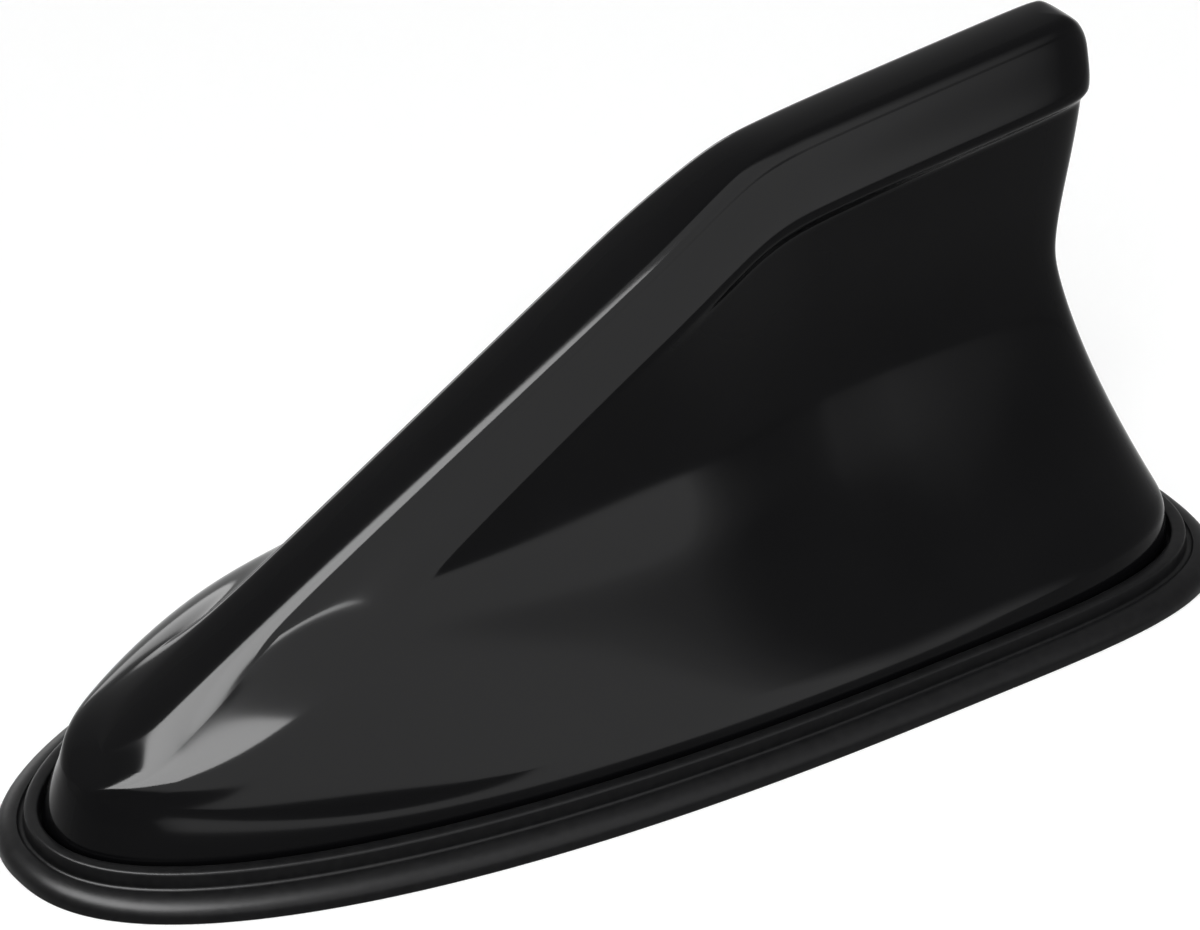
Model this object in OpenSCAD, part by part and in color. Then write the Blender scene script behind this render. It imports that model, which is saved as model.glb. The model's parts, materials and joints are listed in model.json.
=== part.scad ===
// Shark fin aerial for a car roof, millimetres.
// +X runs from the nose to the tail, +Z is up, and z = 0 is the roof panel.
// The aerial is symmetric about the XZ plane. The origin is the bottom centre.

/* [Plan] */
// Length of the rubber base, nose to tail
base_len = 166; // [156:1:180]
// Greatest width of the rubber base
base_w = 71; // [67:1:80]
// Where the base is widest, behind the middle
wide_x = 27; // [15:1:35]
// Roundness of the nose in plan, 2 is an ellipse
nose_round = 2.1; // [2:0.05:2.4]
// Squareness of the tail in plan
tail_square = 4.8; // [3.5:0.1:6]

/* [Fin] */
// Height of the fin tip above the roof panel
fin_h = 71.2; // [66:0.2:78]
// Wall of the moulded cover
wall = 2; // [1.6:0.1:2.4]
// How far the ridge starts behind the nose
nose_set = 7; // [5:0.1:9]
// How far the tip ends ahead of the tail
tip_set = 6.4; // [4:0.2:12]
// Length of the flat head of the ridge, from the bend to the tip
head_len = 49; // [42:0.5:56]
// Height of the ridge's front above the roof panel
front_h = 14.4; // [13:0.1:16]
// Slope of the head, degrees
head_angle = 4.2; // [1:0.2:7]
// Softness of the bend between the two slopes
bend_soft = 5; // [3:0.5:10]
// Half the ridge's width at its front
ridge_half_nose = 4.9; // [4.2:0.1:5.2]
// Half the ridge's width at the bend
ridge_half_mid = 5.4; // [4.8:0.1:6]
// Half the ridge's width at the tip
ridge_half_tip = 4.1; // [3.9:0.1:5]
// Radius of the ridge's shoulders
shoulder_r = 1.5; // [1:0.1:1.9]
// Height of the ridge's crown over its shoulders
crown = 0.5; // [0.2:0.1:0.9]
// Height of the slanted band under the shoulder
bevel_h = 9; // [7:0.5:11]
// How far the slanted band leans out
bevel_w = 3.8; // [3:0.1:4.5]
// Depth of the crease under the head
crease = 0.9; // [0.4:0.1:1.2]
// How far the head's end stands out over the rear edge
head_rear = 3.4; // [1.5:0.1:4]
// How deep the rear edge curves in
waist = 6.7; // [4:0.1:9]
// Height of the flare, amidships
flare_h = 47; // [42:1:52]
// Height of the flare, at the tail
flare_tail_h = 41; // [37:1:46]
// Steepness of the flare
flare_k = 2.5; // [2.2:0.1:3.2]
// Height of the round hull at the nose, out of which the fin rises
hull_top = 27.5; // [25:0.1:30]
// Fullness of the hull
hull_k = 1.45; // [1.2:0.05:2]
// Softness of the hollow between the hull and the fin
fillet = 6.5; // [3:0.5:8]

/* [Sill] */
// Height at which the cover leaves the gasket's lip
lip_z = 4.85; // [4.4:0.05:5.4]
// Sill of the cover above the lip, at the nose
sill_nose = 5.9; // [5:0.1:8]
// The same amidships
sill_mid = 2.6; // [2:0.1:3.6]
// The same at the tail
sill_tail = 3.9; // [2.8:0.1:4.6]
// Slope of the sill's face, run over rise
draft = 0.4; // [0.2:0.01:0.5]
// The same at the tail
draft_tail = 0.13; // [0.05:0.01:0.25]
// Radius of the sill's upper edge
sill_r = 0.9; // [0.5:0.1:1.2]

/* [Gasket] */
// Width of the rubber outside the cover
flange_w = 5.2; // [4.8:0.1:6]
// Height of the ledge that the cover stands on
ledge_z = 3; // [2.8:0.1:3.4]
// Gap between the cover and the upright lip
lip_gap = 0.4; // [0.3:0.05:0.8]
// Thickness of the upright lip
lip_t = 1.6; // [1.2:0.1:1.8]
// Height of the square bottom rim
rim_h = 0.9; // [0.6:0.1:1.2]

/* [Underside] */
// Thickness of the adhesive foam pad
pad_t = 1.2; // [0.8:0.1:1.6]
// Thickness of the base plate's rim, over the gasket's ledge
plate_rim = 1.4; // [1.2:0.1:1.8]
// Radius of the cable's way through the grommet
cable_r = 3.1; // [2.5:0.1:3.5]
// How far ahead of the cover's tail the cable leaves
cable_back = 33.8; // [32:0.2:36]

/* [Screws] */
// Shank radius of the cover's screws
cover_screw_r = 1.4; // [1.2:0.1:1.6]
// Head radius of the cover's screws
cover_head_r = 2.7; // [2.4:0.1:3]
// Shank radius of the small screws
small_screw_r = 1; // [0.8:0.1:1.2]
// Head radius of the small screws
small_head_r = 1.9; // [1.7:0.1:2.2]

/* [Electronics] */
// Length of the circuit board, as a share of the cover's
board_share_l = 0.411; // [0.39:0.001:0.43]
// Width of the circuit board, as a share of the cover's
board_share_w = 0.462; // [0.43:0.002:0.49]
// Thickness of the circuit board
board_t = 1.6; // [1.2:0.1:1.8]
// Height of the posts that carry the board
post_h = 3.6; // [3:0.1:4.5]
// Thickness of the sheet metal parts
sheet_t = 0.4; // [0.3:0.05:0.5]
// Thickness of the holder of the aerial element
holder_t = 4; // [3:0.1:4.2]
// Depth of the top plate's folded sides
fold_h = 9; // [6:0.5:12]
// Wire radius of the loading coil
wire_r = 0.4; // [0.3:0.05:0.5]
// Radius of the loading coil's former
former_r = 3; // [2.6:0.1:3.4]
// Turns of the loading coil
coil_turns = 11; // [8:1:13]

/* [Hidden] */
$fn = 48;
eps = 0.01;
// Columns round the nose and the tail, rows up the side and over the shoulder
nose_cols = 26;
tail_cols = 22;
cols = nose_cols + tail_cols;
side_rows = 16;
edge_rows = 3;
inner_rows = 8;
inner_step = 2;
crown_f = 0.5;

half_l = base_len / 2 - flange_w;
half_w = base_w / 2 - flange_w;
// Clearance between pieces that fit together
fit = 0.3;
// Outlines of the gasket's opening, the plate's rim, its body and the pad, in from the cover
gasket_in = -wall - 2.5;
plate_in = -wall - fit;
body_in = gasket_in - fit;
// Heights
plate_top = ledge_z + plate_rim;
board_z = plate_top + post_h;
board_top = board_z + board_t;
// Screws: head heights, thread clearance and lengths under the head
cover_head_h = 0.45 * cover_head_r;
small_head_h = 0.42 * small_head_r;
thread_gap = 0.05;
cover_head_z = pad_t + cover_head_h + fit / 3;
cover_screw_len = plate_top - cover_head_z + 3.3 * cover_screw_r;
board_screw_len = board_t + 4 * small_screw_r;
// Grommet, and where the cable leaves
grommet_r = 1.61 * cable_r;
grommet_flange_r = grommet_r + 0.48 * cable_r;
grommet_lip = 0.323 * cable_r;
cable_x = half_l - cable_back;
// Circuit board: it ends ahead of the grommet, and its parts have their places as shares of it
lead_room = 9.5;
board_len = board_share_l * 2 * half_l;
board_w = board_share_w * 2 * half_w;
board_end = cable_x - grommet_flange_r - lead_room;
board_x = board_end - board_len;
function along(share) = board_x + share * board_len;
function across(share) = share * board_w;
post_r = 2.6 * small_screw_r;
board_inset = across(0.125);
board_at = [for (x = [board_x + board_inset, board_end - board_inset])
    for (y = [-1, 1]) [x, y * (board_w / 2 - board_inset)]];
// Cover bosses. The middle ones stand half way between the board's edge and the plate's.
boss_r = 2.3 * cover_screw_r;
boss_top = hull_top + wall;
nose_boss_x = -half_l + 17.5;
tail_boss_x = half_l - 17.8;
mid_boss_y = (board_w / 2 + half_w + body_in) / 2;
tail_boss_y = half_w - 10.3;
boss_at = [
    [nose_boss_x, 0], [along(0.59), mid_boss_y], [along(0.59), -mid_boss_y],
    [tail_boss_x, tail_boss_y], [tail_boss_x, -tail_boss_y]
];
// Holder of the aerial element: its rail follows the ridge over two legs
head_room = 2.5;
rail_h = 1.5 * holder_t;
leg_w = 1.25 * holder_t;
foot_h = 0.35 * holder_t;
foot_toe = 0.375 * holder_t;
foot_edge = 0.3 * small_head_r;
rail_x = along(0.344);
rail_end = cable_x + grommet_flange_r + 2 + foot_toe + leg_w;
front_screw_x = rail_x - small_head_r - 0.9;
rear_screw_x = rail_end + small_head_r + 1.1;
small_screw_at = concat(board_at, [[front_screw_x, 0]]);
// Connectors stand at the board's tail end, and the loading coil just ahead of them
header_back = 1.5;
header_len = 6;
tab_len = 2.7;
former_gap = 0.1;
coil_r = former_r + wire_r + 0.2;
coil_x = board_end - header_back - header_len - 0.7 - tab_len - former_gap - former_r;
tip_x = half_l - tip_set;
bend_x = tip_x - head_len;
// How fast the ridge's set-back fades, from the nose and from the tip
nose_lean = 66;
tail_lean = 20;
// Length of the ridge's round front
front_len = 7;
// Stations between which the ridge widens and narrows, the crease deepens, the flare drops
// and the hull fades
widen_x = [-0.64, 0.13] * half_l;
narrow_x = [0.065, 0.385] * half_l;
crease_x = [0, 0.515] * half_l;
flare_x = [0.26, 1] * half_l;
hull_x = [-0.64, 0.585] * half_l;
// Fade lengths of the sill's height behind the nose, and of the waist and head at the tail
sill_fade = 26;
waist_fade = 14;
head_fade = 5;
head_low = [bevel_h + 3, bevel_h + 25];
crease_edge = [bevel_h - 0.3, bevel_h + 1.6];
waist_soft = 0.073;
rise_soft = 0.18;
hull_soft = 0.12;
blend = 6;
// Makes the greatest softness of the hollow, two thirds of the way up, equal to the fillet
hump_k = 6.75;
// Moved out by 1, the ridge rises by this much and the sill's edge by that much
ridge_rise = 1.16;
sill_rise = 0.7;
spine_end = 1.2;

function clamp01(t) = min(1, max(0, t));
function ease(a, b, x) = let(t = clamp01((x - a) / (b - a))) t * t * (3 - 2 * t);

// Plan outline of column i, moved out by o. The rubber's outer edge is a little fuller.
function plan_n(o) = nose_round + 0.2 * clamp01(o / flange_w);
function swell(c, s, n) = pow(pow(abs(c), n) + pow(abs(s), n), -1 / n);
function nose_pt(a, o) =
    let(k = swell(cos(a), sin(a), plan_n(o)))
    [wide_x - (wide_x + half_l + o) * cos(a) * k, (half_w + o) * sin(a) * k];
function tail_pt(a, o, n) =
    let(k = swell(cos(a), sin(a), n))
    [wide_x + (half_l + o - wide_x) * cos(a) * k, (half_w + o) * sin(a) * k];
function plan_pt(i, o, n = tail_square) =
    i <= nose_cols ? nose_pt(90 * i / nose_cols, o)
    : i >= cols ? [half_l + o, 0]
    : tail_pt(90 - 90 * (i - nose_cols) / tail_cols, o, n);

// Runs on the leading slope and on the head's slope from the tip to d ahead of the bend
function bend_run(d) = norm([d, bend_soft]) - norm([head_len, bend_soft]);
function on_lead(d) = (d - head_len - bend_run(d)) / 2;
function on_head(d) = (d - head_len + bend_run(d)) / 2;
// The two slopes. The leading one goes down to the ridge's front.
front_d = nose_set - half_l - bend_x;
head = tan(head_angle);
lead = (front_h - fin_h + crown - head * on_head(front_d)) / on_lead(front_d);
// Height of the ridge over station x, and half its width
function ridge_z(x) =
    let(d = x - bend_x)
    fin_h - crown + lead * on_lead(d) + head * on_head(d);
function ridge_half(x) =
    ridge_half_nose + (ridge_half_mid - ridge_half_nose) * ease(widen_x[0], widen_x[1], x)
    + (ridge_half_tip - ridge_half_mid) * ease(narrow_x[0], narrow_x[1], x);

// Top of the sill over station x, and its upper outline, drawn in by the draft of its face
function sill_z(x) =
    lip_z + sill_mid + (sill_nose - sill_mid) * exp(-pow((x + half_l) / sill_fade, 2))
    + (sill_tail - sill_mid) * ease(wide_x, half_l, x);
function base_pt(i, o) =
    let(x = plan_pt(i, o).x, slope = draft + (draft_tail - draft) * ease(wide_x, half_l, x))
    plan_pt(i, o - slope * (sill_z(x) - lip_z));

// The ridge over column i: its station, and the share of its width that is left there.
// The ridge is round at its front and square at the tip.
tip_square = 12;
function ridge_x(i, o) =
    let(x = plan_pt(i, o, tip_square).x)
    x + nose_set * exp(-(x + half_l + o) / nose_lean) - tip_set * exp((x - half_l - o) / tail_lean);
function ridge_share(i, o) =
    let(f = clamp01((ridge_x(i, o) + half_l + o - nose_set) / front_len))
    i < nose_cols ? sqrt(1 - (1 - f) * (1 - f)) : plan_pt(i, o, tip_square).y / (half_w + o);

// The rear edge: two straight stretches with a soft waist between them
function rear_bow(h) = -waist * (1 - norm([2 * h - 1, waist_soft]));

// The lesser of two heights and the greater of two widths, with a soft change between them
function soft_min(a, b) = pow(pow(a, -blend) + pow(b, -blend), -1 / blend);
function soft_max(a, b, soft) = (a + b + norm([a - b, soft])) / 2;

// A point on the side of the cover: column i, share h of the height, moved out by o.
// The fin has a slanted band under its shoulder, a crease, a flat stretch and a flare.
// At the nose it rises out of a round hull.
function side_pt(i, h, o) =
    let(
        b = base_pt(i, o),
        z0 = sill_z(b.x) + sill_rise * o,
        rx = ridge_x(i, o),
        share = ridge_share(i, o),
        ry = (ridge_half(rx) + o) * share,
        rz = ridge_z(rx) + ridge_rise * o,
        z = z0 + (rz - z0) * h,
        d = rz - z,
        under = ease(crease_edge[0], crease_edge[1], d),
        lean = bevel_w * ease(0, bevel_h, d) - crease * ease(crease_x[0], crease_x[1], rx) * under,
        flat = ry + lean * share,
        drop = flare_h + (flare_tail_h - flare_h) * ease(flare_x[0], flare_x[1], b.x),
        reach = soft_min(drop, rz - z0),
        fin_y = flat + (b.y - flat) * pow(clamp01(1 - (z - z0) / reach), flare_k),
        hull = soft_min(hull_top + sill_rise * o - z0, rz - z0),
        room = 1 - pow(max(z - z0, 0) / hull, hull_k),
        hull_y = b.y * room * pow((1 + pow(hull_soft, 2)) / (pow(room, 2) + pow(hull_soft, 2)), 0.25),
        both_y = soft_max(fin_y, hull_y, fillet * hump_k * h * h * (1 - h)),
        bow = 1 - ease(hull_x[0], hull_x[1], b.x),
        rise = 1 - (norm([h, rise_soft]) - rise_soft) / (norm([1, rise_soft]) - rise_soft),
        back = exp((b.x - half_l - o) / waist_fade),
        end = exp((b.x - half_l - o) / head_fade) * (1 - ease(head_low[0], head_low[1], d))
    )
    [
        rx + (b.x - rx) * (rise * bow + (1 - h) * (1 - bow)) + back * rear_bow(h)
            + end * (head_rear * ease(0, bevel_h, d) - crease * under),
        both_y * bow + fin_y * (1 - bow),
        z
    ];

// A point on the crown, share f of the way from the middle line out to the ridge's edge
function crown_pt(i, f, o) =
    let(rx = ridge_x(i, o), share = ridge_share(i, o), spine = min(rx, tip_x + o - spine_end))
    [
        spine + (rx - spine) * f,
        (ridge_half(rx) + o) * share * f,
        ridge_z(rx) + ridge_rise * o + crown * (1 - f * f) * share
    ];

// Shares of the height at which column i's side starts over the sill and ends under the shoulder
function side_tall(i, o) = let(rx = ridge_x(i, o)) ridge_z(rx) + ridge_rise * o - sill_z(rx);
function side_low(i, o) = min(sill_r / side_tall(i, o), 0.2);
function side_high(i, o) =
    1 - min(shoulder_r * (0.15 + 0.85 * ridge_share(i, o)) / side_tall(i, o), 0.4);
function crown_edge(i, o) = 1 - shoulder_r / (ridge_half(ridge_x(i, o)) + o);

// A rounded corner: a quadratic curve from a to c that heads for b
function rounded(a, b, c, t) = a * (1 - t) * (1 - t) + b * 2 * t * (1 - t) + c * t * t;
function sill_pt(i, t, o) =
    let(
        p = plan_pt(i, o),
        corner = side_pt(i, 0, o),
        low = corner + ([p.x, p.y, lip_z] - corner) * sill_r / (corner.z - lip_z)
    )
    rounded(low, corner, side_pt(i, side_low(i, o), o), t);
function shoulder_pt(i, t, o) =
    rounded(side_pt(i, side_high(i, o), o), side_pt(i, 1, o), crown_pt(i, crown_edge(i, o), o), t);

// One closed ring from its half, keeping one column in every s
function ring(half) =
    let(n = len(half) - 1)
    concat(half, [for (i = [n - 1 : -1 : 1]) [half[i].x, -half[i].y, half[i].z]]);
function half_ring(z, o, s = 1) = [for (i = [0 : s : cols]) let(p = plan_pt(i, o)) [p.x, p.y, z]];
function sill_ring(t, o, s) = [for (i = [0 : s : cols]) sill_pt(i, t, o)];
function side_ring(t, o, s) =
    [for (i = [0 : s : cols])
        let(low = side_low(i, o))
        side_pt(i, low + (side_high(i, o) - low) * sin(90 * t), o)];
function shoulder_ring(t, o, s) = [for (i = [0 : s : cols]) shoulder_pt(i, t, o)];
function crown_ring(f, o, s) = [for (i = [0 : s : cols]) crown_pt(i, f * crown_edge(i, o), o)];

// Rings of a skin from its foot at z0 over the sill, the side and the shoulder
function skin_rings(z0, o, n, s) = concat(
    [ring(half_ring(z0, o, s)), ring(half_ring(lip_z, o, s))],
    [ring(sill_ring(0, o, s)), ring(sill_ring(0.5, o, s))],
    [for (k = [0 : n]) ring(side_ring(k / n, o, s))],
    [for (k = [1 : edge_rows]) ring(shoulder_ring(k / edge_rows, o, s))],
    [ring(crown_ring(crown_f, o, s))]
);

// Faces between n rings of m points that follow each other
function wall_faces(n, m) =
    [for (k = [0 : n - 2]) for (i = [0 : m - 1])
        let(j = (i + 1) % m) each [
            [k * m + i, k * m + j, (k + 1) * m + j],
            [k * m + i, (k + 1) * m + j, (k + 1) * m + i]]];
// The cap over the last ring, from side to side
function cap_faces(at, m) = concat(
    [[at, at + 1, at + m - 1]],
    [for (i = [1 : m / 2 - 2]) each [
        [at + i, at + i + 1, at + m - i - 1],
        [at + i, at + m - i - 1, at + m - i]]],
    [[at + m / 2 - 1, at + m / 2, at + m / 2 + 1]]);
// The last ring of a tube that closes on itself joined to its first
function loop_faces(n, m) =
    [for (i = [0 : m - 1])
        let(j = (i + 1) % m, k = (n - 1) * m) each [[k + i, k + j, j], [k + i, j, i]]];

module skin(z0, o, n, s) {
    rings = skin_rings(z0, o, n, s);
    m = 2 * cols / s;
    polyhedron(
        points = [for (r = rings) each r],
        faces = concat(wall_faces(len(rings), m), cap_faces((len(rings) - 1) * m, m),
            [[for (i = [m - 1 : -1 : 0]) i]]));
}

// A flat plate with the plan outline moved out by o, on the columns of the cover's inside
module slab(z0, z1, o) {
    translate([0, 0, z0]) linear_extrude(z1 - z0)
        polygon([for (p = ring(half_ring(0, o, inner_step))) [p.x, p.y]]);
}
module post(at, z0, z1, r) {
    translate([at.x, at.y, z0]) cylinder(h = z1 - z0, r = r);
}
module box(x0, x1, y0, y1, z0, z1) {
    translate([x0, y0, z0]) cube([x1 - x0, y1 - y0, z1 - z0]);
}

module fin_cover() {
    hole_top = cover_head_z + cover_screw_len + fit;
    color("#17171a") difference() {
        union() {
            difference() {
                skin(ledge_z, 0, side_rows, 1);
                skin(ledge_z - 1, -wall, inner_rows, inner_step);
            }
            intersection() {
                union() for (p = boss_at) post(p, plate_top, boss_top, boss_r);
                skin(ledge_z, -wall / 2, inner_rows, inner_step);
            }
        }
        for (p = boss_at) post(p, plate_top - 1, hole_top, cover_screw_r + thread_gap);
    }
}

// The gasket's section, [out from the cover, height], swept round the plan outline
lip_out = lip_gap + lip_t;
lip_edge = 0.22 * lip_t;
groove = 0.9;
rim_edge = 0.2;
ledge_gap = 0.15;
flange_top = ledge_z - 0.1;
gap_floor = ledge_z - 0.5;
bow_start = lip_out + groove;
gasket_section = concat(
    [[gasket_in, 0], [flange_w - rim_edge, 0], [flange_w, rim_edge]],
    [for (a = [0 : 22.5 : 90])
        [bow_start + (flange_w - bow_start) * cos(a), rim_h + (flange_top - rim_h) * sin(a)]],
    [for (k = [0.55, 0.2]) [lip_out + groove * k, flange_top - groove * k]],
    [[lip_out, lip_z - lip_edge], [lip_out - lip_edge, lip_z], [lip_gap + lip_edge, lip_z],
        [lip_gap, lip_z - lip_edge], [lip_gap, gap_floor], [ledge_gap, gap_floor],
        [ledge_gap, ledge_z], [gasket_in, ledge_z]]
);
module base_gasket() {
    m = 2 * cols;
    n = len(gasket_section);
    color("#2b2b2d") polyhedron(
        points = [for (q = gasket_section) each ring(half_ring(q.y, q.x))],
        faces = concat(wall_faces(n, m), loop_faces(n, m)));
}

module base_plate() {
    color("#262629") difference() {
        union() {
            slab(pad_t, plate_top, body_in);
            slab(ledge_z, plate_top, plate_in);
            for (p = small_screw_at) post(p, plate_top - eps, board_z, post_r);
        }
        for (p = boss_at) {
            post(p, 0, ledge_z + plate_rim + 1, cover_screw_r + fit);
            post(p, 0, cover_head_z, cover_head_r + fit);
        }
        for (p = small_screw_at)
            post(p, board_top - board_screw_len - fit, board_z + 1, small_screw_r + thread_gap);
        post([rear_screw_x, 0], pad_t + 0.5, plate_top + 1, small_screw_r + thread_gap);
        post([cable_x, 0], 0, plate_top + 1, grommet_r + 0.1);
    }
}

module adhesive_pad() {
    color("#3a3a3c") difference() {
        slab(0, pad_t, body_in);
        post([cable_x, 0], -1, pad_t + 1, grommet_flange_r + 1.4);
    }
}

// A pan-head screw: its head's bearing face at z, its shank down or up
module screw(at, z, len, shank_r, head_r, head_h, up) {
    translate([at.x, at.y, z]) mirror([0, 0, up ? 1 : 0]) {
        difference() {
            cylinder(h = head_h, r = head_r);
            for (a = [0, 90]) rotate(a)
                translate([-head_r * 0.6, -head_r * 0.11, head_h * 0.5])
                cube([head_r * 1.2, head_r * 0.22, head_h]);
        }
        translate([0, 0, eps - len]) cylinder(h = len, r = shank_r);
    }
}
module cover_screws() {
    color("#a9aaac") for (p = boss_at)
        screw(p, cover_head_z, cover_screw_len, cover_screw_r, cover_head_r, cover_head_h, true);
}
module board_screws() {
    color("#a9aaac") for (p = board_at)
        screw(p, board_top, board_screw_len, small_screw_r, small_head_r, small_head_h, false);
}

module perimeter_seal() {
    color("#1c1c1c") difference() {
        slab(plate_top, plate_top + 0.8, plate_in - 0.6);
        slab(plate_top - 1, plate_top + 2, plate_in - 2);
    }
}

module cable_grommet() {
    color("#202022") difference() {
        union() {
            post([cable_x, 0], pad_t - grommet_lip, plate_top + grommet_lip, grommet_r);
            post([cable_x, 0], pad_t - grommet_lip, pad_t, grommet_flange_r);
            post([cable_x, 0], plate_top, plate_top + grommet_lip, grommet_flange_r);
        }
        post([cable_x, 0], -1, plate_top + grommet_lip + 1, cable_r);
    }
}

module ground_plate() {
    color("#b9bcbe") difference() {
        box(board_x, board_end, 1 - board_w / 2, board_w / 2 - 1, plate_top, plate_top + sheet_t);
        for (p = small_screw_at) post(p, plate_top - 1, board_z, post_r + fit);
    }
}

// Leaf springs, bent from strip, between the ground plate and the board
spring_w = across(0.107);
module leaf(x0, z0, z1, run) {
    t = sheet_t / 2;
    translate([x0, spring_w / 2, 0]) rotate([90, 0, 0]) linear_extrude(spring_w) polygon([
        [0, z0], [run, z0], [run, z0 + t], [t * 2, z0 + t], [run, z1 - t], [run * 1.5, z1 - t],
        [run * 1.5, z1], [run - t, z1], [0, z0 + t]]);
}
module ground_springs() {
    color("#c8a24a") for (y = [-1, 1]) translate([0, y * across(0.286), 0])
        leaf(along(0.4375), plate_top + sheet_t, board_z, 0.0625 * board_len);
}

module circuit_board() {
    cut = across(0.107);
    color("#1e5b35") difference() {
        translate([0, 0, board_z]) linear_extrude(board_t) polygon([
            [board_x, -board_w / 2 + cut], [board_x + cut, -board_w / 2],
            [board_end, -board_w / 2], [board_end, board_w / 2],
            [board_x + cut, board_w / 2], [board_x, board_w / 2 - cut]]);
        for (p = small_screw_at) post(p, board_z - 1, board_top + 1, small_screw_r + fit);
        post([coil_x, 0], board_z - 1, board_top + 1, peg_r + thread_gap);
    }
}

// Screened amplifier at the board's nose end
shield_l = 0.215 * board_len;
shield_w = across(0.536);
shield_h = 3.2;
shield_x = along(0.0235);
module shield_can() {
    color("#c3c6c8") difference() {
        box(shield_x, shield_x + shield_l, -shield_w / 2, shield_w / 2, board_top, board_top + shield_h);
        box(shield_x + sheet_t, shield_x + shield_l - sheet_t, -shield_w / 2 + sheet_t,
            shield_w / 2 - sheet_t, board_top - 1, board_top + shield_h - sheet_t);
        for (x = [1 : 4]) for (y = [-1, 1])
            post([shield_x + x * shield_l / 5, y * shield_w / 5], board_top, board_top + shield_h + 1, 0.8);
    }
}
module chip(at, l, w, h) {
    translate([at.x - l / 2, at.y - w / 2, board_top]) cube([l, w, h]);
}
module leads(at, l, w, count, pitch) {
    for (k = [0 : count - 1]) for (y = [-1, 1])
        translate([at.x + (k - (count - 1) / 2) * pitch - 0.2, at.y + y * (w / 2 + 0.35) - 0.4, board_top])
        cube([0.4, 0.8, 0.3]);
}
module amplifier_chip() {
    at = [shield_x + shield_l / 2, 0];
    color("#1b1b1d") union() {
        chip(at, 5, 4, 1.5);
        leads(at, 5, 4, 4, 1.2);
    }
}
module regulator_chip() {
    at = [along(0.609), across(0.307)];
    color("#1b1b1d") union() {
        chip(at, 6.4, 3.4, 1.6);
        leads(at, 6.4, 3.4, 3, 2.3);
    }
}
module filter_capacitor() {
    at = [along(0.492), across(0.307)];
    color("#b4b6ba") union() {
        post(at, board_top + 0.6, board_top + 5.4, 2.2);
        chip(at, 4.8, 4.8, 0.61);
    }
}
// Wound chokes: flanges of choke_r over and under a narrower winding
choke_r = across(0.086);
choke_h = across(0.093);
module filter_coils() {
    rim = choke_h / 4;
    color("#3b3b40") for (share = [0.5, 0.597, 0.694]) {
        at = [along(share), across(-0.321)];
        post(at, board_top, board_top + rim, choke_r);
        post(at, board_top + rim - eps, board_top + choke_h - rim + eps, choke_r * 0.7);
        post(at, board_top + choke_h - rim, board_top + choke_h, choke_r);
    }
}
module chip_capacitors() {
    color("#b79a6b") for (k = [0 : 4]) chip([along(0.5 + k * 0.0469), across(-0.157)], 2, 1.2, 0.9);
}
module chip_resistors() {
    color("#232326") for (k = [0 : 4]) chip([along(0.5 + k * 0.0406), across(0.157)], 1.6, 0.8, 0.5);
}

// Connectors at the board's tail end, facing the grommet
header_x = board_end - header_back;
coax_y = across(-0.136);
coax_half = across(0.114);
coax_z = board_top + coax_half;
snout_l = 5;
module coax_header() {
    color("#c9a75b") difference() {
        union() {
            box(header_x - header_len, header_x, coax_y - coax_half, coax_y + coax_half,
                board_top, coax_z + coax_half - 0.2);
            translate([header_x - eps, coax_y, coax_z]) rotate([0, 90, 0])
                cylinder(h = snout_l, r = 0.75 * coax_half);
        }
        translate([header_x - 1, coax_y, coax_z]) rotate([0, 90, 0]) difference() {
            cylinder(h = snout_l + 2, r = 0.56 * coax_half);
            cylinder(h = snout_l, r = 0.16 * coax_half);
        }
    }
}
// Two pins in an open box
power_y = across(0.182);
power_half = across(0.1036);
power_h = 4.6;
shell_t = 0.8;
pin_half = 0.3;
pin_z = board_top + 2;
module power_header() {
    x = header_x - header_len + 0.5;
    color("#e6e2d4") difference() {
        box(x, header_x, power_y - power_half, power_y + power_half, board_top, board_top + power_h);
        box(x + 1, header_x + 1, power_y - power_half + shell_t, power_y + power_half - shell_t,
            board_top + shell_t, board_top + power_h - shell_t);
    }
    color("#c9a75b") for (y = [-power_half / 3, power_half / 3])
        box(x + 1 - eps, header_x - 0.5, power_y + y - pin_half, power_y + y + pin_half,
            pin_z, pin_z + 2 * pin_half);
}

// Underside of the room that the ridge leaves for the aerial element, and the rail's top
function rail_z(x) = ridge_z(x) - ridge_rise * wall - head_room - sheet_t - thread_gap;
rail_step = 3;
function rail_pts(x0, x1, dz) =
    let(n = ceil((x1 - x0) / rail_step))
    [for (k = [0 : n]) let(x = x0 + (x1 - x0) * k / n) [x, rail_z(x) + dz]];
// A flat shape in the plane of symmetry, made w thick, and a strip of it that follows the ridge
module upright(w) {
    translate([0, w / 2, 0]) rotate([90, 0, 0]) linear_extrude(w) children();
}
module strip(x0, x1, low, high) {
    low_pts = rail_pts(x0, x1, low);
    n = len(low_pts);
    polygon(concat(rail_pts(x0, x1, high), [for (k = [n - 1 : -1 : 0]) low_pts[k]]));
}
module leg(x, z) {
    translate([x, z]) square([leg_w, rail_z(x) - rail_h / 2 - z]);
}
module element_holder() {
    rear_half = 1.25 * holder_t;
    color("#d8d4c8") difference() {
        union() {
            upright(holder_t) {
                strip(rail_x, rail_end, -rail_h, 0);
                leg(rail_x, board_top + foot_h / 2);
                leg(rail_end - leg_w, plate_top + foot_h / 2);
            }
            box(front_screw_x - small_head_r - foot_edge, rail_x + leg_w + foot_edge, -holder_t, holder_t,
                board_top, board_top + foot_h);
            box(rail_end - leg_w - foot_toe, rear_screw_x + small_head_r + foot_edge, -rear_half, rear_half,
                plate_top, plate_top + foot_h);
        }
        post([front_screw_x, 0], board_top - 1, board_top + foot_h + 1, small_screw_r + fit);
        post([rear_screw_x, 0], plate_top - 1, plate_top + foot_h + 1, small_screw_r + fit);
    }
}
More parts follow.
